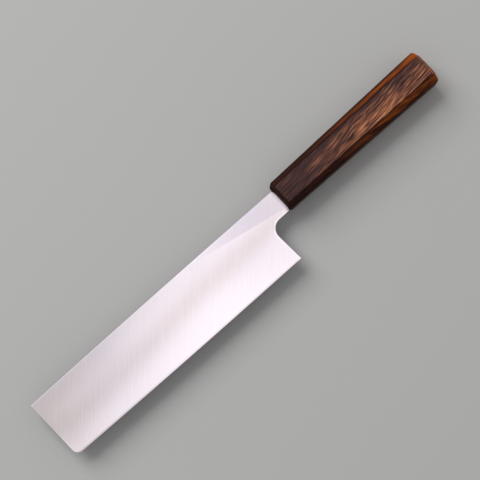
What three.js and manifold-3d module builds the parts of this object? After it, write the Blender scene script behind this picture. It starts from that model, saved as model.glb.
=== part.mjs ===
import * as THREE from 'three';
import { mergeVertices } from 'three/addons/utils/BufferGeometryUtils.js';
import Module from 'manifold-3d';

const wasm = await Module();
wasm.setup();

// A single-bevel vegetable knife lying on its side with the hollow back up, in millimetres.
// It is drawn from the front of the handle: X = 0 is the handle's front face and Y = Z = 0 its axis.
// X runs from the tip to the butt, Y from the edge to the spine, Z out of the hollow back.

// Blade outline
const edgeLength = 180;
const heelToHandle = 16.1;
const heelHeight = 43.2;
const edgeRise = 2.8; // the edge climbs this much from heel to tip
const edgeBelly = 0.45; // and bows this far below its own chord
const spineAboveAxis = 6.4;
const spineRise = 0.7;
const spineBow = 0.4;
const tipLean = 1.4; // degrees, the spine corner stands ahead of the edge corner
const tipCornerRadius = 4.7;
const heelLean = 2.2; // degrees, the heel closes in on the tip as it climbs
const choilRadius = 7.3;
const neckHeight = 16.3;

// Shoulders where the neck steps down to the tang
const spineShoulderLength = 1.7;
const spineShoulderDrop = 2.1;
const edgeShoulderLength = 1.1;
const edgeShoulderDrop = 2.9;

// Blade thickness and the ground bevel on the front
const neckThickness = 3.6;
const tipThickness = 2.6;
const bevelWidthAtHeel = 21;
const bevelWidthAtTip = 19;
const edgeLand = 0.08;
const spineEase = 0.4; // arrises taken off along the spine

// Hard steel layer and its hollow back, which runs out through the tip
const steelThickness = 1.1;
const steelTail = 8; // how far the layer runs into the handle
const hollowRadius = 500; // the grinding wheel's
const edgeRim = 0.9;
const spineRim = 0.9;
const hollowReach = 74.5; // handle to where the hollow's slanting start meets the spine
const neckLand = 2.35; // flat left above the neck's underside where that start meets the handle

// Tang and the bond round it
const tangLength = 90;
const tangEndHeight = 6;
const tangEndThickness = 1.8;
const bondThickness = 0.8;

// Handle
const handleLength = 124.8;
const frontHeight = 20.4;
const frontThickness = 16.4;
const frontFacet = 13.8; // width of the broad flats
const buttHeight = 24.8;
const buttThickness = 19.2;
const buttFacet = 14.6;
const frontBreak = 1.1;
const buttRound = 2.2;

// Facets
const curveSteps = 16;
const stationSteps = 8; // sections on each side of where the hollow's start meets the spine
const hollowSteps = 12;
const roundSteps = 5;
const overcut = 2; // how far a cutting body stands clear of what it trims

const { degToRad, lerp } = THREE.MathUtils;

// Points that follow from the sizes
const heelX = -heelToHandle;
const tipX = heelX - edgeLength;
const neckBottom = spineAboveAxis - neckHeight;
const heelY = spineY(heelX) - heelHeight;
const backZ = neckThickness / 2;
const weldZ = backZ - steelThickness;
const tangTop = spineAboveAxis - spineShoulderDrop;
const tangBottom = neckBottom + edgeShoulderDrop;

// The slanting line on the back where the flat of the neck ends and the hollow starts
const hollowStartAtHandle = neckBottom + neckLand;
const hollowSlant = (spineY(-hollowReach) - hollowStartAtHandle) / hollowReach;
const hollowMeetsSpine = -(hollowReach - spineRim / hollowSlant);

function spineY(x) {
  const along = x / tipX;
  return spineAboveAxis + spineRise * along + 4 * spineBow * along * (1 - along);
}

function edgeY(x) {
  const along = (x - heelX) / (tipX - heelX);
  return heelY + edgeRise * along - 4 * edgeBelly * along * (1 - along);
}

// Even in the neck, thinner towards the tip and, with only the iron going on, towards the tang's end
function thickness(x) {
  if (x > 0) return lerp(neckThickness, steelThickness + tangEndThickness, x / tangLength);
  return lerp(neckThickness, tipThickness, Math.max(0, (x - heelX) / (tipX - heelX)));
}

// Where the ground bevel lies under the flat back at one place along the blade
function bevel(x) {
  const width = lerp(bevelWidthAtHeel, bevelWidthAtTip, (x - heelX) / (tipX - heelX));
  const drop = (thickness(x) - edgeLand) / width;
  return {
    outerY: edgeY(x) - edgeLand / drop,
    weldY: edgeY(x) + (steelThickness - edgeLand) / drop,
    ridgeY: edgeY(x) + width,
    ridgeZ: backZ - thickness(x),
  };
}

function hollowStartY(x) {
  return Math.min(spineY(x) - spineRim, hollowStartAtHandle - hollowSlant * x);
}

// One closed skin through rings of equal count, each counter-clockwise seen from +X
function loft(rings) {
  const count = rings[0].length;
  const index = [];
  for (let ring = 0; ring < rings.length - 1; ring++) {
    for (let i = 0; i < count; i++) {
      const here = ring * count + i;
      const beside = ring * count + (i + 1) % count;
      index.push(here, beside, here + count);
      index.push(beside, beside + count, here + count);
    }
  }
  const flat = rings.map((ring) => ring.map((point) => new THREE.Vector2(point.y, point.z)));
  const last = rings.length - 1;
  for (const [end, towardsX] of [[0, false], [last, true]]) {
    for (const face of THREE.ShapeUtils.triangulateShape(flat[end], [])) {
      const turnsRight = THREE.ShapeUtils.isClockWise(face.map((i) => flat[end][i]));
      const corners = face.map((i) => end * count + i);
      index.push(...(turnsRight === towardsX ? corners.reverse() : corners));
    }
  }
  const geometry = new THREE.BufferGeometry().setFromPoints(rings.flat());
  geometry.setIndex(index);
  return geometry;
}

// A plan outline raised from one height to another
function prism(outline, lowZ, highZ) {
  const shape = new THREE.Shape(outline);
  const geometry = new THREE.ExtrudeGeometry(shape, { depth: highZ - lowZ, bevelEnabled: false });
  return geometry.translate(0, 0, lowZ);
}

function solid(geometry) {
  const bare = geometry.clone();
  bare.deleteAttribute('normal');
  bare.deleteAttribute('uv');
  const merged = mergeVertices(bare);
  return new wasm.Manifold(new wasm.Mesh({
    numProp: 3,
    vertProperties: new Float32Array(merged.attributes.position.array),
    triVerts: new Uint32Array(merged.index.array),
  }));
}

function skin(body) {
  const mesh = body.getMesh();
  const geometry = new THREE.BufferGeometry();
  geometry.setAttribute('position', new THREE.BufferAttribute(mesh.vertProperties, 3));
  geometry.setIndex(new THREE.BufferAttribute(mesh.triVerts, 1));
  geometry.computeVertexNormals();
  return geometry;
}

// Points on a round that replaces the corner between two straight lines
function roundedCorner(before, corner, after, radius) {
  const towardsBefore = before.clone().sub(corner).normalize();
  const towardsAfter = after.clone().sub(corner).normalize();
  const halfAngle = Math.acos(towardsBefore.dot(towardsAfter)) / 2;
  const middle = towardsBefore.clone().add(towardsAfter).normalize();
  const centre = corner.clone().addScaledVector(middle, radius / Math.sin(halfAngle));
  const start = corner.clone().addScaledVector(towardsBefore, radius / Math.tan(halfAngle)).sub(centre);
  const end = corner.clone().addScaledVector(towardsAfter, radius / Math.tan(halfAngle)).sub(centre);
  const sweep = Math.atan2(start.cross(end), start.dot(end));
  const steps = Array.from({ length: roundSteps + 1 }, (_, i) => sweep * i / roundSteps);
  const origin = new THREE.Vector2();
  return steps.map((turn) => start.clone().rotateAround(origin, turn).add(centre));
}

// The forged outline: tip, edge, heel, choil, neck, shoulders and tang.
// Along the spine it stands clear of the ground sections, which have the spine's own curve.
function bladeOutline() {
  const point = (x, y) => new THREE.Vector2(x, y);
  const tipEdge = point(tipX, edgeY(tipX));
  const clearY = spineY(tipX / 2) + overcut;
  const tipTop = point(tipX - Math.tan(degToRad(tipLean)) * (clearY - tipEdge.y), clearY);
  const shoulderSlope = spineShoulderLength / spineShoulderDrop;
  const shoulderTop = point(-shoulderSlope * (clearY - tangTop), clearY);
  const edge = Array.from({ length: curveSteps + 1 }, (_, i) => {
    const x = lerp(tipX + tipCornerRadius + overcut, heelX, i / curveSteps);
    return point(x, edgeY(x));
  });
  const heel = point(heelX, heelY);
  const choil = point(heelX - Math.tan(degToRad(heelLean)) * (neckBottom - heelY), neckBottom);
  const neckEnd = point(-edgeShoulderLength, neckBottom);
  return [
    point(tangLength, tangEndHeight / 2),
    point(0, tangTop),
    shoulderTop,
    tipTop,
    ...roundedCorner(tipTop, tipEdge, edge[0], tipCornerRadius),
    ...edge,
    ...roundedCorner(heel, choil, neckEnd, choilRadius),
    neckEnd,
    point(0, tangBottom),
    point(tangLength, -tangEndHeight / 2),
  ];
}

// Places along the blade where its section changes, from past the tip to the handle
function bladeStations() {
  const pastTip = tipX - overcut - heelHeight * Math.tan(degToRad(tipLean));
  const evenly = (from, to) => Array.from({ length: stationSteps }, (_, i) => {
    return lerp(from, to, i / stationSteps);
  });
  return [...evenly(pastTip, hollowMeetsSpine), ...evenly(hollowMeetsSpine, heelX), heelX, 0];
}

function steelSection(x) {
  const { outerY, weldY } = bevel(x);
  const topY = spineY(x);
  const lowY = edgeY(x) + edgeRim;
  const highY = hollowStartY(x);
  const half = (highY - lowY) / 2;
  const hollow = Array.from({ length: hollowSteps + 1 }, (_, i) => {
    const fromMiddle = half * (1 - 2 * i / hollowSteps);
    const sag = Math.sqrt(hollowRadius ** 2 - fromMiddle ** 2) - Math.sqrt(hollowRadius ** 2 - half ** 2);
    return new THREE.Vector3(x, lowY + half + fromMiddle, backZ - sag);
  });
  return [
    new THREE.Vector3(x, weldY, weldZ),
    new THREE.Vector3(x, topY, weldZ),
    new THREE.Vector3(x, topY, backZ - spineEase),
    new THREE.Vector3(x, topY - spineEase, backZ),
    ...hollow,
    new THREE.Vector3(x, outerY, backZ),
  ];
}

function ironSection(x) {
  const { weldY, ridgeY, ridgeZ } = bevel(x);
  const topY = spineY(Math.min(x, 0));
  return [
    new THREE.Vector3(x, weldY, weldZ),
    new THREE.Vector3(x, ridgeY, ridgeZ),
    new THREE.Vector3(x, topY - spineEase, ridgeZ),
    new THREE.Vector3(x, topY, ridgeZ + spineEase),
    new THREE.Vector3(x, topY, weldZ),
  ];
}

// An eight-sided section of the handle, drawn in by an even inset
function handleSection(x, inset) {
  const along = x / handleLength;
  const corner = (lerp(frontHeight, buttHeight, along) - lerp(frontFacet, buttFacet, along)) / 2;
  const high = lerp(frontHeight, buttHeight, along) / 2 - inset;
  const thick = lerp(frontThickness, buttThickness, along) / 2 - inset;
  const leg = corner - inset * (2 - Math.SQRT2);
  const quarter = [[high, thick - leg], [high - leg, thick]];
  return [
    ...quarter,
    ...quarter.map(([y, z]) => [-y, z]).reverse(),
    ...quarter.map(([y, z]) => [-y, -z]),
    ...quarter.map(([y, z]) => [y, -z]).reverse(),
  ].map(([y, z]) => new THREE.Vector3(x, y, z));
}

function handleBody() {
  const butt = Array.from({ length: roundSteps + 1 }, (_, i) => {
    const turn = i / roundSteps * Math.PI / 2;
    const x = handleLength - buttRound * (1 - Math.sin(turn));
    return handleSection(x, buttRound * (1 - Math.cos(turn)));
  });
  return loft([handleSection(0, frontBreak), handleSection(frontBreak, 0), ...butt]);
}

// The socket follows the tang at the bond's thickness and ends as far past it
const socketEnd = tangLength + bondThickness;
const socketOutline = [
  new THREE.Vector2(0, tangTop + bondThickness),
  new THREE.Vector2(0, tangBottom - bondThickness),
  new THREE.Vector2(socketEnd, -tangEndHeight / 2 - bondThickness),
  new THREE.Vector2(socketEnd, tangEndHeight / 2 + bondThickness),
];
const socket = solid(prism(socketOutline, -backZ - bondThickness, backZ + bondThickness));

// Both layers are the same forged outline, ground to their own sections
const blank = solid(prism(bladeOutline(), -neckThickness, neckThickness));
const stations = bladeStations();
const steelBody = solid(loft([...stations, steelTail].map(steelSection)));
const ironBody = solid(loft([...stations, tangLength + overcut].map(ironSection)));
const steel = blank.intersect(steelBody);
const iron = blank.intersect(ironBody);
const bond = socket.subtract(iron).subtract(steel);
const handle = solid(handleBody()).subtract(socket);

const brightSteel = { color: 0xe6dfe4, roughness: 0.3, metalness: 1 };
const hazyIron = { color: 0xb9b6b8, roughness: 0.45, metalness: 1 };
const darkWood = { color: 0x54322a, roughness: 0.35, metalness: 0 };
const curedResin = { color: 0x3a2418, roughness: 0.5, metalness: 0 };

const knife = new THREE.Group();
for (const [name, body, look] of [
  ['edge_steel_layer', steel, brightSteel],
  ['iron_blade_body', iron, hazyIron],
  ['octagonal_handle', handle, darkWood],
  ['tang_bond', bond, curedResin],
]) {
  const mesh = new THREE.Mesh(skin(body), new THREE.MeshStandardMaterial(look));
  mesh.name = name;
  knife.add(mesh);
}

// The finished part stands on the middle of its own footprint
const extent = new THREE.Box3().setFromObject(knife);
const middle = extent.getCenter(new THREE.Vector3());
knife.position.set(-middle.x, -middle.y, -extent.min.z);

export default knife;
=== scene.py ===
import bmesh
import bpy
import math
import numpy as np
from mathutils import Matrix, Vector
from mathutils.geometry import delaunay_2d_cdt


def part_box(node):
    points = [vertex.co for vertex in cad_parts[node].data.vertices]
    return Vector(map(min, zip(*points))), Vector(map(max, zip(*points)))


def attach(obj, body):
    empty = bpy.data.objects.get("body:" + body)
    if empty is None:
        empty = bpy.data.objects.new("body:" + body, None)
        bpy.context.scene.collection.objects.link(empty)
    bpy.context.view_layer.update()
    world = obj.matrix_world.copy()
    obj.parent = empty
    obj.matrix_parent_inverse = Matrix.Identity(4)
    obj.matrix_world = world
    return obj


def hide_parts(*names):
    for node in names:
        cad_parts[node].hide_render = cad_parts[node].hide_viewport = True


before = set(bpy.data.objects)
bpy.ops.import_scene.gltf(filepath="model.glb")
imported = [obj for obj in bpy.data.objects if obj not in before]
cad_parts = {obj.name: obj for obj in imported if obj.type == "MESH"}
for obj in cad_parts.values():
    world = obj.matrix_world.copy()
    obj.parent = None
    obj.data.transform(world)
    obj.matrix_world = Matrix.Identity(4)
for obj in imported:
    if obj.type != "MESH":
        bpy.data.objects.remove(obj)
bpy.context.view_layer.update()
scene = bpy.context.scene
mm = 0.001

# Everything is drawn in millimetres from the front of the handle, on its axis:
# x runs to the butt, y to the spine, z out of the hollow back
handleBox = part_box("octagonal_handle")
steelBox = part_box("edge_steel_layer")
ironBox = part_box("iron_blade_body")
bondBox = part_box("tang_bond")
handleMiddle = (handleBox[0] + handleBox[1]) / 2
drawnFrom = Vector((handleBox[0].x, handleMiddle.y, handleMiddle.z))


def fromFrame(point):
    return (point - drawnFrom) / mm


def toFrame(x, y, z):
    return drawnFrom + Vector((x, y, z)) * mm


blade = {
    "edgeLength": 180.0,
    "heelToHandle": 16.1,
    "heelHeight": 43.2,
    "edgeRise": 2.8,  # from heel to tip
    "edgeBelly": 0.45,  # bow of the edge below its chord
    "spineAboveAxis": 6.4,
    "spineRise": 0.7,
    "spineBow": 0.4,
    "tipLean": math.radians(1.4),
    "tipCorner": 4.7,
    "heelLean": math.radians(2.2),
    "choil": 7.3,
    "neckHeight": 16.3,
    "spineShoulder": (1.7, 2.1),  # length, drop
    "edgeShoulder": (1.1, 2.9),
    "tipThickness": 2.6,
    "bevelAtHeel": 21.0,
    "bevelAtTip": 19.0,
    "land": 0.08,  # what is left at the cutting edge
    "hollowRadius": 500.0,
    "edgeRim": 0.9,  # flat kept below the hollow
    "spineRim": 0.5,  # and above it, as far as polishing left it
    "hollowReach": 74.5,
    "neckLand": 2.35,
    "weldWander": 0.06,  # the forge weld strays this far up and down
    "weldWaves": (7.3, 3.1),
    "tangEndHeight": 6.0,
    "tangEndThickness": 1.8,
    "spineEase": 0.4,  # arrises taken off
    "endEase": 0.22,
    "neckEase": 0.5,
    "easeSteps": 4,
    "mitreLimit": 0.6,
    "cornerSteps": 14,
    "sharpAngle": math.radians(12),
    "shadeWeight": 80,
    "outlineStep": 1.6,
    "backCell": (1.7, 1.1),  # spacing of the points that carry the hollow
    "frontCell": (5.0, 4.0),
    "clearOfRim": 0.6,  # they keep this share of a cell away from the rim
    "clearOfLine": 0.5,  # and from the lines below
    "hollowTopLine": (-0.4, -1.0),  # past the tip, short of the handle
    "hollowEdgeLine": (0.55, -0.6),  # share of the tip's corner, short of the heel
    "weldLine": (0.5, -0.5),
    "ridgeLine": (0.6, -1.6),
    "merge": 1e-5,
    "tolerance": 1e-6,
}
tiny = 1e-9
backZ = fromFrame(steelBox[1]).z
weldZ = fromFrame(steelBox[0]).z
steelTail = fromFrame(steelBox[1]).x
tangLength = fromFrame(ironBox[1]).x
neckThickness = backZ - fromFrame(ironBox[0]).z
heelX = -blade["heelToHandle"]
tipX = heelX - blade["edgeLength"]
neckBottom = blade["spineAboveAxis"] - blade["neckHeight"]


def mix(a, b, t):
    return a + (b - a) * t


def spineY(x):
    t = x / tipX
    return blade["spineAboveAxis"] + blade["spineRise"] * t + 4 * blade["spineBow"] * t * (1 - t)


heelY = spineY(heelX) - blade["heelHeight"]


def towardsTip(x):
    return (x - heelX) / (tipX - heelX)


def edgeY(x):
    t = towardsTip(x)
    return heelY + blade["edgeRise"] * t - 4 * blade["edgeBelly"] * t * (1 - t)


def thickness(x):
    if x > 0:
        return mix(neckThickness, backZ - weldZ + blade["tangEndThickness"], x / tangLength)
    return mix(neckThickness, blade["tipThickness"], max(0.0, towardsTip(x)))


def bevelWidth(x):
    return mix(blade["bevelAtHeel"], blade["bevelAtTip"], towardsTip(x))


def bevelSlope(x):
    return (thickness(x) - blade["land"]) / bevelWidth(x)


def weldHeight(x):
    waves = [math.sin(x / length + length) for length in blade["weldWaves"]]
    return weldZ + blade["weldWander"] * sum(waves) / len(waves)


def weldY(x):
    return edgeY(x) + (backZ - weldHeight(x) - blade["land"]) / bevelSlope(x)


# The slanting line where the flat of the neck ends and the hollow starts
startAtHandle = neckBottom + blade["neckLand"]
startSlant = (spineY(-blade["hollowReach"]) - startAtHandle) / blade["hollowReach"]


def hollowStartY(x):
    return min(spineY(x) - blade["spineRim"], startAtHandle - startSlant * x)


def hollowEndY(x):
    return edgeY(x) + blade["edgeRim"]


def backSurface(x, y):
    low, high = hollowEndY(x), hollowStartY(x)
    half = (high - low) / 2
    off = y - (low + high) / 2
    if x > 0 or abs(off) >= half:
        return backZ
    radius = blade["hollowRadius"]
    return backZ - math.sqrt(radius ** 2 - off ** 2) + math.sqrt(radius ** 2 - half ** 2)


def frontSurface(x, y):
    rise = blade["land"] + (y - edgeY(x)) * bevelSlope(x)
    return backZ - min(thickness(x), max(blade["land"], rise))


def weldSurface(x, y):
    return weldHeight(x)


def steelUnderside(x, y):
    return max(weldHeight(x), frontSurface(x, y))


def ironUnderside(x, y):
    return min(weldHeight(x), frontSurface(x, y))


def evenly(start, end, step):
    count = max(1, round(abs(end - start) / step))
    return [mix(start, end, i / count) for i in range(count + 1)]


def roundCorner(before, corner, after, radius):
    steps = blade["cornerSteps"]
    toBefore = (before - corner).normalized()
    toAfter = (after - corner).normalized()
    half = toBefore.angle(toAfter) / 2
    centre = corner + (toBefore + toAfter).normalized() * (radius / math.sin(half))
    start = corner + toBefore * (radius / math.tan(half)) - centre
    sweep = -start.angle_signed(corner + toAfter * (radius / math.tan(half)) - centre)
    return [centre + Matrix.Rotation(sweep * i / steps, 2) @ start for i in range(steps + 1)]


def tipLineX(y):
    return tipX - math.tan(blade["tipLean"]) * (y - edgeY(tipX))


def heelLineX(y):
    return heelX - math.tan(blade["heelLean"]) * (y - heelY)


def tangY(x, side):
    shoulder = blade["spineShoulder"] if side > 0 else blade["edgeShoulder"]
    neckSide = blade["spineAboveAxis"] if side > 0 else neckBottom
    return mix(neckSide - side * shoulder[1], side * blade["tangEndHeight"] / 2, x / tangLength)


# Outlines are lists of (x, y, ease), counter-clockwise from above
def upperRun(tailX):
    spineTurn = -blade["spineShoulder"][0]
    points = [(tailX, tangY(tailX, 1), 0.0), (0.0, tangY(0.0, 1), 0.0)]
    cornerX = tipLineX(spineY(tipX))
    for x in evenly(spineTurn, cornerX, blade["outlineStep"]):
        points.append((x, spineY(x), blade["spineEase"]))
    return points


def neckRun(fromY, tailX):
    step = blade["outlineStep"]
    choilCorner = Vector((heelLineX(neckBottom), neckBottom))
    neckTurn = Vector((-blade["edgeShoulder"][0], neckBottom))
    rounded = roundCorner(Vector((heelLineX(fromY), fromY)), choilCorner, neckTurn, blade["choil"])
    points = []
    for y in evenly(fromY, rounded[0].y, step)[1:-1]:
        share = (y - fromY) / (rounded[0].y - fromY)
        points.append((heelLineX(y), y, mix(blade["endEase"], blade["neckEase"], share)))
    points += [(p.x, p.y, blade["neckEase"]) for p in rounded]
    points += [(x, neckBottom, blade["neckEase"]) for x in evenly(rounded[-1].x, neckTurn.x, step)[1:]]
    points += [(0.0, tangY(0.0, -1), 0.0), (tailX, tangY(tailX, -1), 0.0)]
    return points


def steelOutline():
    step = blade["outlineStep"]
    tipEdge = Vector((tipX, edgeY(tipX)))
    ahead = Vector((tipX + 2 * blade["tipCorner"], edgeY(tipX + 2 * blade["tipCorner"])))
    above = Vector((tipLineX(0.0), 0.0))
    rounded = roundCorner(above, tipEdge, ahead, blade["tipCorner"])
    points = upperRun(steelTail)
    top = spineY(tipX)
    points += [(tipLineX(y), y, blade["endEase"]) for y in evenly(top, rounded[0].y, step)[1:-1]]
    points += [(p.x, p.y, 0.0) for p in rounded]
    points += [(x, edgeY(x), 0.0) for x in evenly(rounded[-1].x, heelX, step)[1:]]
    return points + neckRun(heelY, steelTail)


def ironOutline():
    step = blade["outlineStep"]
    points = upperRun(tangLength)
    lowTip = weldY(tipLineX(weldY(tipX)))
    lowHeel = weldY(heelLineX(weldY(heelX)))
    points += [(tipLineX(y), y, blade["endEase"]) for y in evenly(spineY(tipX), lowTip, step)[1:-1]]
    points += [(x, weldY(x), 0.0) for x in evenly(tipLineX(lowTip), heelLineX(lowHeel), step)]
    return points + neckRun(lowHeel, tangLength)


def insetRing(outline, share):
    count = len(outline)
    ring = []
    for i, (x, y, ease) in enumerate(outline):
        here = Vector((x, y))
        arriving = (here - Vector(outline[i - 1][:2])).normalized()
        leaving = (Vector(outline[(i + 1) % count][:2]) - here).normalized()
        inward = Vector((-arriving.y - leaving.y, arriving.x + leaving.x)).normalized()
        mitre = 1 / max(blade["mitreLimit"], inward.dot(Vector((-arriving.y, arriving.x))))
        ring.append(here + inward * (ease * share * mitre))
    return ring


def insidePoints(ring, cell):
    corners = np.array([p[:] for p in ring])
    low, high = corners.min(0), corners.max(0)
    columns = np.arange(low[0] + cell[0] / 2, high[0], cell[0])
    rows = np.arange(low[1] + cell[1] / 2, high[1], cell[1])
    points = np.array([(x, y) for x in columns for y in rows])
    nextCorners = np.roll(corners, -1, axis=0)
    inside = np.zeros(len(points), bool)
    clear = np.ones(len(points), bool)
    for a, b in zip(corners, nextCorners):
        crosses = (a[1] > points[:, 1]) != (b[1] > points[:, 1])
        run = (b[0] - a[0]) * (points[:, 1] - a[1]) / ((b[1] - a[1]) or tiny) + a[0]
        inside ^= crosses & (points[:, 0] < run)
        along = np.clip(((points - a) @ (b - a)) / max(tiny, (b - a) @ (b - a)), 0, 1)
        away = np.linalg.norm(points - a - along[:, None] * (b - a), axis=1)
        clear &= away > min(cell) * blade["clearOfRim"]
    return [Vector(p) for p in points[inside & clear]]


def capFace(bm, ringVerts, ring, surface, lines, cell, faceUp):
    points = [Vector(p) for p in ring]
    edges = [(i, (i + 1) % len(ring)) for i in range(len(ring))]
    lineEdges = []
    for line in lines:
        first = len(points)
        points += [Vector(p) for p in line]
        lineEdges += [(i, i + 1) for i in range(first, len(points) - 1)]
    nearLine = [p for line in lines for p in line]
    free = insidePoints(ring, cell)
    if nearLine:
        linePoints = np.array([p[:] for p in nearLine])
        gaps = [np.abs(linePoints - np.array(p[:])).max(axis=1).min() for p in free]
        free = [p for p, gap in zip(free, gaps) if gap > min(cell) * blade["clearOfLine"]]
    points += free
    coords, outEdges, faces, fromPoints, fromEdges, _ = delaunay_2d_cdt(
        points, edges + lineEdges, [list(range(len(ring)))], 1, blade["tolerance"])
    verts = []
    for co, sources in zip(coords, fromPoints):
        onRing = [s for s in sources if s < len(ring)]
        verts.append(ringVerts[onRing[0]] if onRing else bm.verts.new((co.x, co.y, surface(co.x, co.y))))
    for face in faces:
        corners = [verts[i] for i in face]
        a, b, c = (coords[i] for i in face)
        if ((b - a).cross(c - a) > 0) != faceUp:
            corners.reverse()
        bm.faces.new(corners)
    for (a, b), sources in zip(outEdges, fromEdges):
        if any(len(edges) <= s < len(edges) + len(lineEdges) for s in sources):
            edge = bm.edges.get((verts[a], verts[b]))
            if edge:
                edge.smooth = False


def slab(name, outline, upper, lower, easeUpper, easeLower, upperLines, lowerLines, upperCell, lowerCell):
    steps = blade["easeSteps"]
    turns = [math.pi / 2 * i / steps for i in range(steps + 1)]
    levels = [(1 - math.sin(a), 1 - math.cos(a)) for a in turns] if easeLower else [(0.0, 0.0)]
    rings = []
    for share, lift in levels:
        ring = insetRing(outline, share)
        rings.append((ring, [lower(p.x, p.y) + lift * o[2] for p, o in zip(ring, outline)]))
    levels = [(1 - math.cos(a), 1 - math.sin(a)) for a in turns] if easeUpper else [(0.0, 0.0)]
    for share, drop in levels:
        ring = insetRing(outline, share)
        rings.append((ring, [upper(p.x, p.y) - drop * o[2] for p, o in zip(ring, outline)]))
    bm = bmesh.new()
    made = [[bm.verts.new((p.x, p.y, z)) for p, z in zip(ring, heights)] for ring, heights in rings]
    count = len(outline)
    for under, over in zip(made, made[1:]):
        for i in range(count):
            j = (i + 1) % count
            bm.faces.new((under[i], under[j], over[j], over[i]))
    capFace(bm, made[-1], rings[-1][0], upper, upperLines, upperCell, True)
    capFace(bm, made[0], rings[0][0], lower, lowerLines, lowerCell, False)
    bmesh.ops.remove_doubles(bm, verts=bm.verts, dist=blade["merge"])
    for face in bm.faces:
        face.smooth = True
    for edge in bm.edges:
        if len(edge.link_faces) == 2 and edge.calc_face_angle() > blade["sharpAngle"]:
            edge.smooth = False
    for vert in bm.verts:
        vert.co = toFrame(*vert.co)
    mesh = bpy.data.meshes.new(name)
    bm.to_mesh(mesh)
    bm.free()
    piece = bpy.data.objects.new(name, mesh)
    evenShade = piece.modifiers.new("evenShade", "WEIGHTED_NORMAL")
    evenShade.keep_sharp = True
    evenShade.weight = blade["shadeWeight"]
    return plainMesh(piece)


def plainMesh(piece):
    scene.collection.objects.link(piece)
    graph = bpy.context.evaluated_depsgraph_get()
    mesh = bpy.data.meshes.new_from_object(
        piece.evaluated_get(graph), preserve_all_data_layers=True, depsgraph=graph)
    piece.modifiers.clear()
    piece.data = mesh
    return piece


# Creases that the faces keep, from near the tip to near the handle or heel
def hollowLines():
    step = blade["outlineStep"]
    past, short = blade["hollowTopLine"]
    top = [Vector((x, hollowStartY(x))) for x in evenly(tipX + past, short, step)]
    share, short = blade["hollowEdgeLine"]
    pastCorner = tipX + share * blade["tipCorner"]
    low = [Vector((x, hollowEndY(x))) for x in evenly(pastCorner, heelX + short, step)]
    return [top, low]


def weldLine():
    first, last = blade["weldLine"]
    start, end = tipLineX(weldY(tipX)) + first, heelLineX(weldY(heelX)) + last
    return [Vector((x, weldY(x))) for x in evenly(start, end, blade["outlineStep"])]


def ridgeLine():
    first, last = blade["ridgeLine"]
    inner = evenly(tipX + first, heelX + last, blade["outlineStep"])
    return [Vector((x, edgeY(x) + bevelWidth(x))) for x in inner]


steelLayer = slab("steelLayer", steelOutline(), backSurface, steelUnderside, True, False,
                  hollowLines(), [weldLine()], blade["backCell"], blade["frontCell"])
ironBody = slab("ironBody", ironOutline(), weldSurface, ironUnderside, False, True,
                [], [ridgeLine()], blade["frontCell"], blade["frontCell"])
print("blade:", len(steelLayer.data.polygons), "faces of steel,", len(ironBody.data.polygons), "of iron")


# Small helpers for node trees
def addNode(tree, kind, inputs=None, **settings):
    node = tree.nodes.new(kind)
    for name, value in settings.items():
        setattr(node, name, value)
    for name, value in (inputs or {}).items():
        feed(tree, node.inputs[name], value)
    return node


def feed(tree, socket, value):
    if isinstance(value, bpy.types.NodeSocket):
        tree.links.new(value, socket)
    else:
        socket.default_value = value


def calc(tree, operation, *values, clamp=False):
    node = addNode(tree, "ShaderNodeMath", operation=operation, use_clamp=clamp)
    for socket, value in zip(node.inputs, values):
        feed(tree, socket, value)
    return node.outputs[0]


def times(tree, a, b):
    return calc(tree, "MULTIPLY", a, b)


def minus(tree, a, b):
    return calc(tree, "SUBTRACT", a, b)


def total(tree, *values):
    result = values[0]
    for value in values[1:]:
        result = calc(tree, "ADD", result, value)
    return result


def weighted(tree, values, shares):
    return total(tree, *[times(tree, value, share) for value, share in zip(values, shares)])


def blendNumbers(tree, a, b, t):
    node = addNode(tree, "ShaderNodeMix", data_type="FLOAT", clamp_factor=False)
    for socket, value in zip((node.inputs[0], node.inputs[2], node.inputs[3]), (t, a, b)):
        feed(tree, socket, value)
    return node.outputs[0]


handle = {
    "Front Height": 20.4,
    "Front Thickness": 16.4,
    "Front Flat": 13.8,  # width of the broad flats
    "Butt Height": 24.8,
    "Butt Thickness": 19.2,
    "Butt Flat": 14.6,
    "Front Break": 1.1,
    "Butt Round": 2.2,
    "Socket Top": 5.1,
    "Socket Bottom": -7.8,
    "Socket End Height": 7.6,
    "Socket Thickness": 5.2,
}
handleBuild = {
    "rows": 26,
    "buttRows": 8,
    "socketPast": 1.0,  # the cut starts this far in front of the handle
    "ridgeRound": 0.4,
    "ridgeSteps": 3,
    "ridgeAngle": math.radians(20),
    "sharpAngle": math.radians(12.5),
}
handleFrom = {"Length": handleBox[1].x - handleBox[0].x, "Socket Depth": bondBox[1].x - handleBox[0].x}


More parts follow.
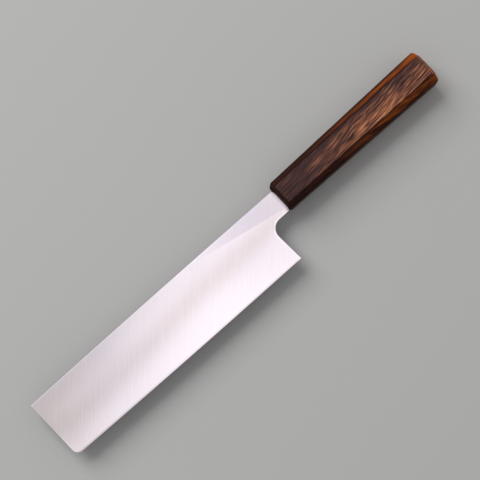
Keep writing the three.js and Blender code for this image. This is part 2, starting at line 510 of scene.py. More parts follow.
def octagonTree():
    tree = bpy.data.node_groups.new("octagonHandle", "GeometryNodeTree")
    for name in (*handle, *handleFrom):
        tree.interface.new_socket(name, in_out="INPUT", socket_type="NodeSocketFloat")
    for name in ("Rows", "Butt Rows"):
        tree.interface.new_socket(name, in_out="INPUT", socket_type="NodeSocketInt")
    tree.interface.new_socket("Front Middle", in_out="INPUT", socket_type="NodeSocketVector")
    tree.interface.new_socket("Finish", in_out="INPUT", socket_type="NodeSocketMaterial")
    tree.interface.new_socket("Handle", in_out="OUTPUT", socket_type="NodeSocketGeometry")
    given = tree.nodes.new("NodeGroupInput").outputs
    position = tree.nodes.new("GeometryNodeInputPosition").outputs[0]

    # Eight-sided bar: each row of points gets its place along the handle and its inset
    bar = addNode(tree, "GeometryNodeMeshCylinder", {
        "Vertices": 8, "Side Segments": given["Rows"], "Radius": 1.0, "Depth": 1.0}, fill_type="NGON")
    turned = addNode(tree, "GeometryNodeTransform", {
        "Geometry": bar.outputs["Mesh"], "Rotation": (0, 0, math.radians(22.5))})
    across, over, up = addNode(tree, "ShaderNodeSeparateXYZ", {0: position}).outputs
    row = times(tree, total(tree, up, 0.5), given["Rows"])
    buttStart = minus(tree, given["Rows"], given["Butt Rows"])
    front = calc(tree, "MINIMUM", row, 1.0)
    middle = calc(tree, "DIVIDE", minus(tree, row, 1.0), minus(tree, buttStart, 1.0), clamp=True)
    rounding = calc(tree, "DIVIDE", minus(tree, row, buttStart), given["Butt Rows"], clamp=True)
    turn = times(tree, rounding, math.pi / 2)
    straight = minus(tree, minus(tree, given["Length"], given["Front Break"]), given["Butt Round"])
    along = total(tree,
                  times(tree, front, given["Front Break"]),
                  times(tree, middle, straight),
                  times(tree, calc(tree, "SINE", turn), given["Butt Round"]))
    inset = total(tree,
                  times(tree, minus(tree, 1.0, front), given["Front Break"]),
                  times(tree, minus(tree, 1.0, calc(tree, "COSINE", turn)), given["Butt Round"]))
    t = calc(tree, "DIVIDE", along, given["Length"])
    height = blendNumbers(tree, given["Front Height"], given["Butt Height"], t)
    thick = blendNumbers(tree, given["Front Thickness"], given["Butt Thickness"], t)
    flat = blendNumbers(tree, given["Front Flat"], given["Butt Flat"], t)
    cutBack = times(tree, inset, 2 - math.sqrt(2))  # an inset shortens a chamfer's leg by this
    leg = minus(tree, times(tree, minus(tree, height, flat), 0.5), cutBack)
    onSide = calc(tree, "GREATER_THAN", calc(tree, "ABSOLUTE", across), calc(tree, "ABSOLUTE", over))
    offSide = minus(tree, 1.0, onSide)
    halfHeight = minus(tree, times(tree, height, 0.5), inset)
    halfThick = minus(tree, times(tree, thick, 0.5), inset)
    reachY = minus(tree, halfHeight, times(tree, leg, offSide))
    reachZ = minus(tree, halfThick, times(tree, leg, onSide))
    place = addNode(tree, "ShaderNodeCombineXYZ", {
        "X": along,
        "Y": times(tree, calc(tree, "SIGN", across), reachY),
        "Z": times(tree, calc(tree, "SIGN", over), reachZ)})
    shaped = addNode(tree, "GeometryNodeSetPosition", {
        "Geometry": turned.outputs[0], "Position": place.outputs[0]})

    # Burnt-in socket, tapered with the tang
    plug = addNode(tree, "GeometryNodeMeshCube", {"Size": (1, 1, 1)})
    inwards, spineward, upward = addNode(tree, "ShaderNodeSeparateXYZ", {0: position}).outputs
    depth = total(tree, inwards, 0.5)
    mouth = times(tree, minus(tree, 1.0, depth), -handleBuild["socketPast"] * mm)
    upper = calc(tree, "GREATER_THAN", spineward, 0.0)
    mouthY = blendNumbers(tree, given["Socket Bottom"], given["Socket Top"], upper)
    endY = times(tree, given["Socket End Height"], spineward)
    plugPlace = addNode(tree, "ShaderNodeCombineXYZ", {
        "X": total(tree, mouth, times(tree, depth, given["Socket Depth"])),
        "Y": blendNumbers(tree, mouthY, endY, depth),
        "Z": times(tree, given["Socket Thickness"], upward)})
    plugShaped = addNode(tree, "GeometryNodeSetPosition", {
        "Geometry": plug.outputs["Mesh"], "Position": plugPlace.outputs[0]})
    cut = addNode(tree, "GeometryNodeMeshBoolean", operation="DIFFERENCE", solver="EXACT")
    tree.links.new(shaped.outputs[0], cut.inputs["Mesh 1"])
    tree.links.new(plugShaped.outputs[0], cut.inputs["Mesh 2"])

    moved = addNode(tree, "GeometryNodeTransform", {
        "Geometry": cut.outputs["Mesh"], "Translation": given["Front Middle"]})
    real = addNode(tree, "GeometryNodeRealizeInstances", {0: moved.outputs[0]})
    dressed = addNode(tree, "GeometryNodeSetMaterial", {
        "Geometry": real.outputs[0], "Material": given["Finish"]})
    out = tree.nodes.new("NodeGroupOutput")
    tree.links.new(dressed.outputs[0], out.inputs[0])
    return tree


def makeHandle(finish):
    tree = octagonTree()
    piece = bpy.data.objects.new("woodHandle", bpy.data.meshes.new("woodHandle"))
    modifier = piece.modifiers.new("octagon", "NODES")
    modifier.node_group = tree
    values = {name: size * mm for name, size in handle.items()}
    values |= handleFrom
    values |= {"Rows": handleBuild["rows"], "Butt Rows": handleBuild["buttRows"]}
    values |= {"Front Middle": drawnFrom, "Finish": finish}
    for socket in tree.interface.items_tree:
        if socket.in_out == "INPUT":
            modifier[socket.identifier] = values[socket.name]
    ridges = piece.modifiers.new("ridges", "BEVEL")
    ridges.width = handleBuild["ridgeRound"] * mm
    ridges.segments = handleBuild["ridgeSteps"]
    ridges.limit_method = "ANGLE"
    ridges.angle_limit = handleBuild["ridgeAngle"]
    plainMesh(piece)
    piece.data.shade_smooth()
    piece.data.set_sharp_from_angle(angle=handleBuild["sharpAngle"])
    return piece


# Looks
noiseSpan = (0.3, 0.7)  # where nearly all of a noise lies


def newMaterial(name):
    material = bpy.data.materials.new(name)
    material.use_nodes = True
    shader = material.node_tree.nodes["Principled BSDF"]
    return material, material.node_tree, shader


def inMillimetres(tree):
    place = addNode(tree, "ShaderNodeTexCoord").outputs["Object"]
    return addNode(tree, "ShaderNodeMapping", {
        "Vector": place, "Location": drawnFrom, "Scale": (mm, mm, mm)}, vector_type="TEXTURE").outputs[0]


def facingOf(tree):
    normal = addNode(tree, "ShaderNodeNewGeometry").outputs["True Normal"]
    return addNode(tree, "ShaderNodeSeparateXYZ", {0: normal}).outputs


def noise(tree, place, scale, detail, roughness=0.5):
    stretched = addNode(tree, "ShaderNodeMapping", {"Vector": place, "Scale": scale}).outputs[0]
    return addNode(tree, "ShaderNodeTexNoise", {
        "Vector": stretched, "Scale": 1.0, "Detail": detail, "Roughness": roughness}).outputs["Fac"]


def spread(tree, value, low, high, toLow=0.0, toHigh=1.0):
    return addNode(tree, "ShaderNodeMapRange", {
        "Value": value, "From Min": low, "From Max": high, "To Min": toLow, "To Max": toHigh},
        interpolation_type="SMOOTHSTEP").outputs[0]


def nearSpot(tree, place, x, y, radius, level=1.0):
    away = addNode(tree, "ShaderNodeVectorMath", {0: place, 1: (x, y, 0.0)}, operation="DISTANCE")
    return spread(tree, away.outputs["Value"], 0.0, radius, level, 0.0)


def blendColours(tree, a, b, t, how="MIX"):
    node = addNode(tree, "ShaderNodeMix", data_type="RGBA", blend_type=how)
    for socket, value in zip((node.inputs[0], node.inputs[6], node.inputs[7]), (t, a, b)):
        feed(tree, socket, value)
    return node.outputs[2]


def paint(tree, under, colour, mask, share):
    return blendColours(tree, under, colour, times(tree, mask, share))


def grey(value):
    return (value, value, value, 1.0)


def bump(tree, shader, height, strength, distance):
    node = addNode(tree, "ShaderNodeBump", {"Height": height, "Strength": strength, "Distance": distance})
    tree.links.new(node.outputs[0], shader.inputs["Normal"])


satinNoise = {
    "lines": {"Scale": 1.0, "Detail": 4.0, "Roughness": 0.65},
    "cloud": {"Scale": 0.045, "Detail": 3.0, "Roughness": 0.55},
    "perDepth": 0.3,
}


def satinGroup():
    tree = bpy.data.node_groups.new("satinLines", "ShaderNodeTree")
    tree.interface.new_socket("Place", in_out="INPUT", socket_type="NodeSocketVector")
    for name in ("Turn", "Length", "Spacing"):
        tree.interface.new_socket(name, in_out="INPUT", socket_type="NodeSocketFloat")
    for name in ("Lines", "Cloud"):
        tree.interface.new_socket(name, in_out="OUTPUT", socket_type="NodeSocketFloat")
    given = tree.nodes.new("NodeGroupInput").outputs
    turned = addNode(tree, "ShaderNodeVectorRotate", {"Vector": given["Place"], "Angle": given["Turn"]},
                     rotation_type="Z_AXIS").outputs[0]
    per = addNode(tree, "ShaderNodeCombineXYZ", {
        "X": calc(tree, "DIVIDE", 1.0, given["Length"]),
        "Y": calc(tree, "DIVIDE", 1.0, given["Spacing"]),
        "Z": satinNoise["perDepth"]}).outputs[0]
    stretched = addNode(tree, "ShaderNodeVectorMath", {0: turned, 1: per}, operation="MULTIPLY").outputs[0]
    lines = addNode(tree, "ShaderNodeTexNoise", {"Vector": stretched, **satinNoise["lines"]})
    cloud = addNode(tree, "ShaderNodeTexNoise", {"Vector": given["Place"], **satinNoise["cloud"]})
    out = tree.nodes.new("NodeGroupOutput")
    tree.links.new(lines.outputs["Fac"], out.inputs["Lines"])
    tree.links.new(cloud.outputs["Fac"], out.inputs["Cloud"])
    return tree


satinLines = satinGroup()


def satin(tree, place, turn, length, spacing):
    node = tree.nodes.new("ShaderNodeGroup")
    node.node_tree = satinLines
    for name, value in (("Place", place), ("Turn", turn), ("Length", length), ("Spacing", spacing)):
        feed(tree, node.inputs[name], value)
    return node.outputs["Lines"], node.outputs["Cloud"]


steelLook = {
    "bright": (0.965, 0.935, 0.960, 1.0),
    "dull": (0.925, 0.894, 0.920, 1.0),
    "lines": (math.radians(-48), 20.0, 0.55),  # turn, length, spacing
    "neckLine": (-0.1, 0.1),  # the hollow gives way to the neck's flat across this line
    "neck": (  # which keeps a coarser finish: its tints, partly its own and partly painted reflection, and where along it each sets in
        ((0.855, 0.855, 0.895, 1.0), -78.0, -32.0),
        ((0.89, 0.89, 0.89, 1.0), -50.0, -5.0),  # painted shade of the handle, greyer towards it
        ((1.03, 1.02, 0.975, 1.0), -24.0, -4.0),  # and painted reflection of the wood, warmer beside it
    ),
    "handleShade": (0.62, 0.62, 0.62, 1.0),  # painted shade of the handle on the steel beside it
    "handleShadeReach": (-3.6, 0.0),
    "smears": ((0.3, -9.2, 4.0), (0.3, 4.9, 2.6)),  # and tar from burning in the tang at the corners: x, y, radius
    "tar": (0.20, 0.12, 0.065, 1.0),
    "roughFrom": (0.6, 0.4),  # shares of lines and cloud
    "roughness": (0.065, 0.095),
    "neckRoughness": 0.16,
    "bump": (0.022, 0.00002),  # strength, depth in metres
}


def satinSteel():
    material, tree, shader = newMaterial("satinSteel")
    place = inMillimetres(tree)
    look = steelLook
    lines, cloud = satin(tree, place, *look["lines"])
    tone = blendColours(tree, look["dull"], look["bright"], spread(tree, lines, *noiseSpan))
    along, across, _ = addNode(tree, "ShaderNodeSeparateXYZ", {0: place}).outputs
    pastStart = total(tree, across, times(tree, along, startSlant), -startAtHandle)
    onNeck = spread(tree, pastStart, *look["neckLine"])
    # The neck's own coarser finish, with painted shade and reflection of the handle towards it
    for tint, start, end in look["neck"]:
        setIn = times(tree, onNeck, spread(tree, along, start, end))
        tone = blendColours(tree, tone, tint, setIn, "MULTIPLY")
    # painted shade: the steel darkened where it meets the handle
    tone = blendColours(tree, tone, look["handleShade"], spread(tree, along, *look["handleShadeReach"]), "MULTIPLY")
    flatPlace = addNode(tree, "ShaderNodeCombineXYZ", {"X": along, "Y": across}).outputs[0]
    for x, y, radius in look["smears"]:
        tone = blendColours(tree, tone, look["tar"], nearSpot(tree, flatPlace, x, y, radius))
    feed(tree, shader.inputs["Base Color"], tone)
    level = weighted(tree, (lines, cloud), look["roughFrom"])
    rough = spread(tree, level, *noiseSpan, *look["roughness"])
    feed(tree, shader.inputs["Roughness"], blendNumbers(tree, rough, look["neckRoughness"], onNeck))
    shader.inputs["Metallic"].default_value = 1.0
    bump(tree, shader, lines, *look["bump"])
    return material


ironLook = {
    "bright": (0.70, 0.665, 0.685, 1.0),
    "dull": (0.52, 0.50, 0.51, 1.0),
    "haze": (0.42, 0.41, 0.415, 1.0),
    "flatLines": (math.radians(3), 22.0, 0.3),  # turn, length, spacing
    "bevelLines": (math.radians(82), 9.0, 0.25),
    "bevelTilt": (0.06, 0.12),  # faces that lean to the edge by this much are hazy
    "underside": (-0.8, -0.6, 1.0, 0.0),  # if they look down
    "cloudSpan": (0.35, 0.65),
    "hazeShare": 0.7,
    "roughness": (0.30, 0.42),
    "hazeRoughness": 0.16,  # added on the bevel
    "bump": (0.1, 0.00002),
}


def hazyIron():
    material, tree, shader = newMaterial("hazyIron")
    place = inMillimetres(tree)
    look = ironLook
    flatLines, cloud = satin(tree, place, *look["flatLines"])
    bevelLines, _ = satin(tree, place, *look["bevelLines"])
    _, spineward, upward = facingOf(tree)
    onBevel = spread(tree, times(tree, spineward, -1.0), *look["bevelTilt"])
    haze = times(tree, onBevel, spread(tree, upward, *look["underside"]))
    lines = blendNumbers(tree, flatLines, bevelLines, haze)
    polished = blendColours(tree, look["dull"], look["bright"], spread(tree, lines, *noiseSpan))
    misty = blendColours(tree, look["haze"], look["dull"], spread(tree, cloud, *look["cloudSpan"]))
    feed(tree, shader.inputs["Base Color"], paint(tree, polished, misty, haze, look["hazeShare"]))
    rough = spread(tree, lines, *noiseSpan, *look["roughness"])
    added = times(tree, haze, look["hazeRoughness"])
    feed(tree, shader.inputs["Roughness"], total(tree, rough, added))
    shader.inputs["Metallic"].default_value = 1.0
    bump(tree, shader, lines, *look["bump"])
    return material


# Spans are two places, slopes or streak levels between which a share grows from 0 to 1,
# or from the third number to the fourth
woodLook = {
    "burnt": (0.029, 0.0155, 0.0175, 1.0),
    "brown": (0.062, 0.028, 0.026, 1.0),
    "copper": (0.390, 0.138, 0.068, 1.0),
    "glint": (0.640, 0.270, 0.120, 1.0),
    "amber": (0.350, 0.077, 0.011, 1.0),
    "line": (0.012, 0.0055, 0.0050, 1.0),
    "growth": (0.034, 0.0125, 0.0085, 1.0),
    "endGrain": (0.045, 0.019, 0.011, 1.0),
    "cutFrom": 4079.0,  # where along the plank the handle was cut
    "slant": 0.075,  # the grain climbs to the spine this much for each length
    "swell": (4.0, 100.0, 0.0, 3.0),  # and this much more along here
    "swellSide": (-7.0, 8.0),  # on the spine half
    "dip": -2.0,  # and drops this much for each depth
    "wander": 3.6,
    "wiggle": 0.8,
    "wanderNoise": ((0.020, 0.05, 0.05), 1.0),  # scales, detail, roughness
    "wiggleNoise": ((0.11, 0.22, 0.22), 1.0),
    "bands": ((0.026, 0.30, 0.06), 2.0, 0.5),
    "lines": ((0.085, 1.55, 0.10), 2.0, 0.60),
    "hairs": ((0.10, 2.8, 0.2), 1.5, 0.6),
    "fibres": ((0.30, 4.5, 0.6), 2.0, 0.6),
    "pores": ((0.5, 1.9, 1.9), 3.0, 0.65),
    "streakFrom": (0.24, 0.40, 0.36),  # shares of bands, lines and hairs
    "buttWear": (0.87, 0.98, 0.0, 0.75),  # towards the butt the shades wear off
    "shadeWear": 0.4,  # the spine's by this share of it
    "grainWear": 0.3,
    "clearing": (9.0, 85.0),  # from burnt to copper, along the handle
    "clearingSlant": -0.9,
    "clearingDrift": 60.0,
    "thinning": (0.66, 0.84, 1.0, 0.80),  # the copper thins out along here
    "spineShade": (2.6, 5.8, 1.0, 0.15),  # and across here
    "copperSpan": (0.415, 0.60),
    "copperLeft": 0.07,  # what shows of it where it's burnt
    "brownSpan": (0.40, 0.62),
    "glintSpan": (0.51, 0.63),
    "sideSlope": (0.85, 0.97),
    "sideBurnt": 0.75,
    "chamferSlope": (0.40, 0.47),
    "chamferDark": 0.94,
    "ridgeShade": (0.38, 0.20),  # dark at their upper ridges, spine and edge side, by share of their width: burnt wood and painted shade
    "sideShade": (0.32, 0.95, 1.0, 0.12),  # and beside the side flats, burnt wood and painted shade
    "sanded": (45.0, 130.0, 0.11, 1.0),
    "sandedDrift": 40.0,
    "spineGrain": (0.38, 0.58, 0.15, 1.0),
    "edgeGrain": (0.43, 0.57, 0.0, 1.0),
    "buttSlope": (0.05, 0.35),
    "buttFace": (0.75, 0.95),
    "flatRim": (0.05, 0.25),
    # painted highlight on the butt's rounding, by share
    "buttCopper": 0.6,
    "buttAmber": 0.75,
    "buttGrain": 0.5,
    "ridgeSlope": (0.06, 0.16),
    "ridgeEnd": (0.02, 0.12, 1.0, 0.0),
    "ridgeDark": 0.9,
    "darkLines": (0.44, 0.36, 0.0, 0.5),
    "darkHairs": (0.43, 0.34, 0.0, 0.6),
    "frontFace": (-0.8, -0.95),
    "poreSpan": (0.62, 0.42, 0.0, 0.75),
    "breakSlope": (-0.25, -0.5),
    "breakDark": 0.8,
    "breakFace": (-0.58, -0.68),
    "breakCut": 0.9,
    "fibreShade": (0.65, 1.35),
    "roughness": (0.36, 0.50),
    "frontRoughness": 0.95,
    "specular": 0.03,
    "coat": 0.25,  # on the broad flats
    "flatSlope": (0.90, 0.98),
    "coatRoughness": 0.3,
    "grooveFrom": (1.0, 0.5, 0.3),  # shares of lines, hairs and fibres
    "bump": (0.3, 0.00012),
}


def burntWood():
    material, tree, shader = newMaterial("burntWood")
    place = inMillimetres(tree)
    look = woodLook
    along, across, deep = addNode(tree, "ShaderNodeSeparateXYZ", {0: place}).outputs
    buttward, spineward, upward = facingOf(tree)

    # Growth lines climb, settle and wander
    wander = minus(tree, noise(tree, place, *look["wanderNoise"]), 0.5)
    wiggle = minus(tree, noise(tree, place, *look["wiggleNoise"]), 0.5)
    swell = times(tree, spread(tree, along, *look["swell"]), spread(tree, across, *look["swellSide"]))
    ring = weighted(tree, (across, along, swell, deep, wander, wiggle),
                    (1.0, -look["slant"], -1.0, look["dip"], look["wander"], look["wiggle"]))
    plank = total(tree, along, look["cutFrom"])
    grain = addNode(tree, "ShaderNodeCombineXYZ", {"X": plank, "Y": ring, "Z": deep}).outputs[0]
    kinds = ("bands", "lines", "hairs", "fibres")
    bands, lines, hairs, fibres = [noise(tree, grain, *look[kind]) for kind in kinds]

    # Burnt dark at the front and the spine side, clearing to copper
    drift = times(tree, minus(tree, bands, 0.5), look["clearingDrift"])
    reach = total(tree, along, times(tree, across, look["clearingSlant"]), drift)
    towardsButt = calc(tree, "DIVIDE", along, handleFrom["Length"] / mm)
    wear = spread(tree, towardsButt, *look["buttWear"])
    shaded = spread(tree, across, *look["spineShade"])
    shaded = blendNumbers(tree, shaded, 1.0, times(tree, wear, look["shadeWear"]))
    shaded = times(tree, shaded, spread(tree, towardsButt, *look["thinning"]))
    clear = times(tree, spread(tree, reach, *look["clearing"]), shaded)
    streak = weighted(tree, (bands, lines, hairs), look["streakFrom"])
    shown = blendNumbers(tree, look["copperLeft"], 1.0, clear)
    light = times(tree, spread(tree, streak, *look["copperSpan"]), shown)
    colour = blendColours(tree, look["burnt"], look["brown"], spread(tree, lines, *look["brownSpan"]))
    colour = blendColours(tree, colour, look["copper"], light)
    shine = times(tree, light, spread(tree, streak, *look["glintSpan"]))
    colour = blendColours(tree, colour, look["glint"], shine)

    # The sides stay burnt
    onSide = spread(tree, calc(tree, "ABSOLUTE", spineward), *look["sideSlope"])
    colour = paint(tree, colour, look["burnt"], onSide, look["sideBurnt"])

    # Chamfers were sanded back to amber, most of all near the butt, and stay dark at their ridges and outer
    # parts: burnt wood with painted shade
    tilt = calc(tree, "ABSOLUTE", times(tree, spineward, upward))
    chamfer = spread(tree, tilt, *look["chamferSlope"])
    flatHeight = blendNumbers(tree, handle["Front Thickness"] / 2, handle["Butt Thickness"] / 2, towardsButt)
    frontLeg = (handle["Front Height"] - handle["Front Flat"]) / 2
    buttLeg = (handle["Butt Height"] - handle["Butt Flat"]) / 2
    belowFlat = minus(tree, flatHeight, calc(tree, "ABSOLUTE", deep))
    outward = calc(tree, "DIVIDE", belowFlat, blendNumbers(tree, frontLeg, buttLeg, towardsButt))
    onEdgeSide = calc(tree, "LESS_THAN", spineward, 0.0)
    ridgeShade = blendNumbers(tree, *look["ridgeShade"], onEdgeSide)
    # painted shade with burnt wood: less amber near the ridges and beside the side flats
    inward = times(tree, spread(tree, outward, 0.0, ridgeShade), spread(tree, outward, *look["sideShade"]))
    inward = blendNumbers(tree, inward, 1.0, wear)
    sanded = spread(tree, total(tree, along, times(tree, lines, look["sandedDrift"])), *look["sanded"])
    spineGrain = spread(tree, streak, *look["spineGrain"])
    edgeGrain = spread(tree, streak, *look["edgeGrain"])
    grained = blendNumbers(tree, spineGrain, edgeGrain, onEdgeSide)
    grained = blendNumbers(tree, grained, 1.0, times(tree, wear, look["grainWear"]))
    amber = times(tree, times(tree, chamfer, inward), times(tree, sanded, grained))
    colour = paint(tree, colour, look["line"], chamfer, look["chamferDark"])
    colour = blendColours(tree, colour, look["amber"], amber)

    # Painted highlight on the butt's rounding: copper above and below, amber round the rest of its rim
    atButt = spread(tree, buttward, *look["buttSlope"])
    onFace = spread(tree, buttward, *look["buttFace"])
    onRim = calc(tree, "MAXIMUM", spread(tree, outward, *look["flatRim"]), onFace)
    # painted highlight on the rounding next to the broad flats
    buttHighlight = times(tree, atButt, minus(tree, 1.0, onRim))
    colour = paint(tree, colour, look["copper"], buttHighlight, look["buttCopper"])
    colour = paint(tree, colour, look["amber"], times(tree, atButt, onRim), look["buttAmber"])
    colour = paint(tree, colour, look["endGrain"], onFace, look["buttGrain"])

    # Dark ridges and growth lines
    offChamfer = spread(tree, tilt, *look["chamferSlope"], 1.0, 0.0)
    ridge = times(tree, spread(tree, tilt, *look["ridgeSlope"]), offChamfer)
    ridge = times(tree, ridge, spread(tree, buttward, *look["ridgeEnd"]))
    colour = paint(tree, colour, look["line"], ridge, look["ridgeDark"])
    darkLines = spread(tree, lines, *look["darkLines"])
    dark = calc(tree, "MAXIMUM", darkLines, spread(tree, hairs, *look["darkHairs"]))
    dark = blendNumbers(tree, dark, 0.0, times(tree, wear, chamfer))
    colour = blendColours(tree, colour, look["growth"], dark)

    # The front end is left as it was cut, with a dark line round its break
    atFront = spread(tree, buttward, *look["frontFace"])
    pores = noise(tree, place, *look["pores"])
    endGrain = blendColours(tree, look["endGrain"], look["line"], spread(tree, pores, *look["poreSpan"]))
    colour = blendColours(tree, colour, endGrain, atFront)
    onBreak = times(tree, spread(tree, buttward, *look["breakSlope"]), minus(tree, 1.0, atFront))
    colour = paint(tree, colour, look["line"], onBreak, look["breakDark"])
    cut = times(tree, onBreak, spread(tree, buttward, *look["breakFace"]))
    colour = paint(tree, colour, endGrain, cut, look["breakCut"])

    # Fibres shade everything, and the lacquer lies on the broad flats
    low, high = look["fibreShade"]
    shade = blendColours(tree, grey(low), grey(high), fibres)
    feed(tree, shader.inputs["Base Color"], blendColours(tree, colour, shade, 1.0, "MULTIPLY"))
    rough = spread(tree, fibres, *noiseSpan, *look["roughness"])
    feed(tree, shader.inputs["Roughness"], blendNumbers(tree, rough, look["frontRoughness"], atFront))
    shader.inputs["Specular IOR Level"].default_value = look["specular"]
    onFlat = spread(tree, calc(tree, "ABSOLUTE", upward), *look["flatSlope"])
    feed(tree, shader.inputs["Coat Weight"], times(tree, onFlat, look["coat"]))
    shader.inputs["Coat Roughness"].default_value = look["coatRoughness"]
    groove = weighted(tree, (lines, hairs, fibres), look["grooveFrom"])
    bump(tree, shader, groove, *look["bump"])
    return material


resinLook = {
    "dark": (0.022, 0.012, 0.008, 1.0),
    "pale": (0.050, 0.027, 0.016, 1.0),
    "mottle": ((0.6, 0.6, 0.6), 3.0, 0.6),
    "roughness": (0.62, 0.80),
    "specular": 0.2,
    "bump": (0.2, 0.00008),
}


def curedResin():
    material, tree, shader = newMaterial("curedResin")
    look = resinLook
    mottle = noise(tree, inMillimetres(tree), *look["mottle"])
    tone = blendColours(tree, look["dark"], look["pale"], spread(tree, mottle, *noiseSpan))
    feed(tree, shader.inputs["Base Color"], tone)
    feed(tree, shader.inputs["Roughness"], spread(tree, mottle, *noiseSpan, *look["roughness"]))
    shader.inputs["Specular IOR Level"].default_value = look["specular"]
    bump(tree, shader, mottle, *look["bump"])
    return material


woodHandle = makeHandle(burntWood())
print("handle:", len(woodHandle.data.polygons), "faces")
steelLayer.data.materials.append(satinSteel())
ironBody.data.materials.append(hazyIron())
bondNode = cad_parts["tang_bond"]
bondNode.data.materials.clear()
bondNode.data.materials.append(curedResin())

for piece, node, slot in ((steelLayer, "edge_steel_layer", "edge_steel"),
                          (ironBody, "iron_blade_body", "soft_iron"),
                          (woodHandle, "octagonal_handle", "lacquered_wood")):
    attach(piece, "root")
    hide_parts(node)
print("pieces ride on the frame")


studio = {
    "floorSize": 4.0,
    "floorColour": (0.50, 0.496, 0.492, 1.0),
    "keyFrom": Vector((-0.12, 0.74, 0.66)),
    "keyDistance": 2.4,
    "keySize": 1.64,
    "keyPower": 42.5,
    "sky": 0.42,
}
# What polished metal sees overhead: a panel on each side, brightening from the tip to the handle,
# and the dim warm seam between them. Places are directions along (x) and across (y) the knife.
panels = {
    "alongX": (-0.060, 0.085),
    "lean": (0.08, 0.5),  # the spine side's own panel leans from this y
    "spineSide": (0.58, 1.03),  # level at the tip, at the handle
    "edgeSide": (0.88, 1.12),
    "edgeSpread": 0.045,
    "seamY": 0.0985,
    "seamLean": -0.08,
    "seamBend": -1.6,
    "seamWidth": 0.030,
    "seamDepth": (0.02, 0.17),
    "spots": (  # x, y, radius, level
        (-0.018, 0.082, 0.045, 0.06),
        (-0.040, 0.078, 0.034, 0.06),
        (0.030, 0.062, 0.040, 0.05),
        (-0.056, 0.060, 0.016, -0.05),
        (-0.057, 0.132, 0.032, -0.12),
        (0.145, 0.100, 0.070, -0.13),
    ),
    "walls": ((0.0, 0.36), (0.14, 0.30), (0.40, 0.92), (0.56, 0.95), (0.75, 0.66)),  # height, level
    "overhead": (0.75, 0.93),
    "tint": (1.0, 0.938, 0.99, 1.0),
    "warm": (1.0, 0.910, 0.90, 1.0),
    "tipWarm": (0.0, 0.3, 1.0, 0.0),  # the dim end is warm too, by share of the brightening
    "tipSpineSide": (0.036, 0.055),  # less so near the spine
    "tipEdgeSide": (0.105, 0.150, 1.0, 0.35),  # and near the edge
    "sideTint": (1.0, 0.985, 0.99, 1.0),
}


def makeFloor():
    half = studio["floorSize"] / 2
    corners = [(-half, -half, 0), (half, -half, 0), (half, half, 0), (-half, half, 0)]
    mesh = bpy.data.meshes.new("floor")
    mesh.from_pydata(corners, [], [(0, 1, 2, 3)])
    floor = bpy.data.objects.new("floor", mesh)
    scene.collection.objects.link(floor)
    material, _, shader = newMaterial("paleFloor")
    shader.inputs["Base Color"].default_value = studio["floorColour"]
    shader.inputs["Roughness"].default_value = 1.0
    shader.inputs["Specular IOR Level"].default_value = 0.0
    mesh.materials.append(material)


def makeLamp():
    light = bpy.data.lights.new("softKey", "AREA")
    light.shape = "SQUARE"
    light.size = studio["keySize"]
    light.energy = studio["keyPower"]
    lamp = bpy.data.objects.new("softKey", light)
    toKey = studio["keyFrom"].normalized()
    lamp.location = toKey * studio["keyDistance"]
    lamp.rotation_euler = toKey.to_track_quat("Z", "Y").to_euler()
    lamp.visible_glossy = False  # metal sees the panels instead
    scene.collection.objects.link(lamp)


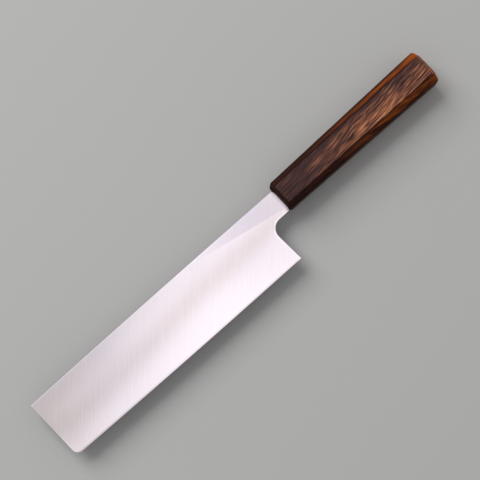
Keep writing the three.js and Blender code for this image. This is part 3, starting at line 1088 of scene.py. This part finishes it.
def makeSky():
    world = bpy.data.worlds.new("studio")
    scene.world = world
    world.use_nodes = True
    tree = world.node_tree
    sky = tree.nodes["Background"]
    way = addNode(tree, "ShaderNodeTexCoord").outputs["Generated"]
    east, north, up = addNode(tree, "ShaderNodeSeparateXYZ", {0: way}).outputs
    heading = addNode(tree, "ShaderNodeCombineXYZ", {"X": east, "Y": north}).outputs[0]

    # Two panels, the seam between them and a few soft spots
    foot, tilt = panels["lean"]
    leaning = times(tree, calc(tree, "MINIMUM", minus(tree, north, foot), 0.0), tilt)
    rise = spread(tree, total(tree, east, leaning), *panels["alongX"])
    bend = times(tree, times(tree, east, east), -panels["seamBend"])
    offSeam = total(tree, north, times(tree, east, -panels["seamLean"]), bend, -panels["seamY"])
    lit = blendNumbers(tree, blendNumbers(tree, *panels["spineSide"], rise),
                       blendNumbers(tree, *panels["edgeSide"], rise),
                       spread(tree, offSeam, 0.0, panels["edgeSpread"]))
    seam = spread(tree, calc(tree, "ABSOLUTE", offSeam), 0.0, panels["seamWidth"], 1.0, 0.0)
    lit = minus(tree, lit, times(tree, seam, blendNumbers(tree, *panels["seamDepth"], rise)))
    for x, y, radius, level in panels["spots"]:
        lit = total(tree, lit, nearSpot(tree, heading, x, y, radius, level))

    # Walls below them
    overhead = spread(tree, up, *panels["overhead"])
    walls = addNode(tree, "ShaderNodeValToRGB", {"Fac": up})
    walls.color_ramp.interpolation = "EASE"
    stops = walls.color_ramp.elements
    while len(stops) < len(panels["walls"]):
        stops.new(1.0)
    for stop, (height, level) in zip(stops, panels["walls"]):
        stop.position = height
        stop.color = grey(level)
    lit = blendNumbers(tree, walls.outputs["Color"], lit, overhead)

    # The seam is warm towards the handle, the panels at the tip
    tipWarm = spread(tree, rise, *panels["tipWarm"])
    for side in ("tipSpineSide", "tipEdgeSide"):
        tipWarm = times(tree, tipWarm, spread(tree, north, *panels[side]))
    warmth = calc(tree, "MAXIMUM", times(tree, seam, rise), tipWarm)
    tint = blendColours(tree, panels["tint"], panels["warm"], warmth)
    tint = blendColours(tree, panels["sideTint"], tint, overhead)

    # Camera, metal and glass see all that, and the rest is lit by a plain sky
    path = addNode(tree, "ShaderNodeLightPath").outputs
    seen = calc(tree, "MAXIMUM", path["Is Camera Ray"], path["Is Glossy Ray"])
    seen = calc(tree, "MAXIMUM", seen, path["Is Transmission Ray"])
    feed(tree, sky.inputs["Strength"], blendNumbers(tree, studio["sky"], lit, seen))
    feed(tree, sky.inputs["Color"], blendColours(tree, grey(1.0), tint, seen))


view = {
    "lookAt": (-36.289, -3.098, 1.8),  # on the back of the blade
    "leanToTip": math.radians(7.491),
    "leanToEdge": math.radians(6.123),
    "distance": 850.0,
    "turn": math.radians(41.963),
    "lens": 103.87,
    "sensor": 36.0,
}


def makeCamera():
    camera = bpy.data.cameras.new("camera")
    camera.lens = view["lens"]
    camera.sensor_width = view["sensor"]
    eye = bpy.data.objects.new("camera", camera)
    scene.collection.objects.link(eye)
    back = Vector((-math.sin(view["leanToTip"]), -math.sin(view["leanToEdge"]), 0.0))
    back.z = math.sqrt(1 - back.length_squared)
    sideways = (Vector((1, 0, 0)) - back * back.x).normalized()
    upwards = back.cross(sideways)
    right = sideways * math.cos(view["turn"]) - upwards * math.sin(view["turn"])
    up = sideways * math.sin(view["turn"]) + upwards * math.cos(view["turn"])
    turn = Matrix((right, up, back)).transposed().to_4x4()
    place = toFrame(*view["lookAt"]) + back * view["distance"] * mm
    eye.matrix_world = Matrix.Translation(place) @ turn
    scene.camera = eye


makeFloor()
makeLamp()
makeSky()
makeCamera()
scene.view_settings.view_transform = "Standard"
print("studio ready")
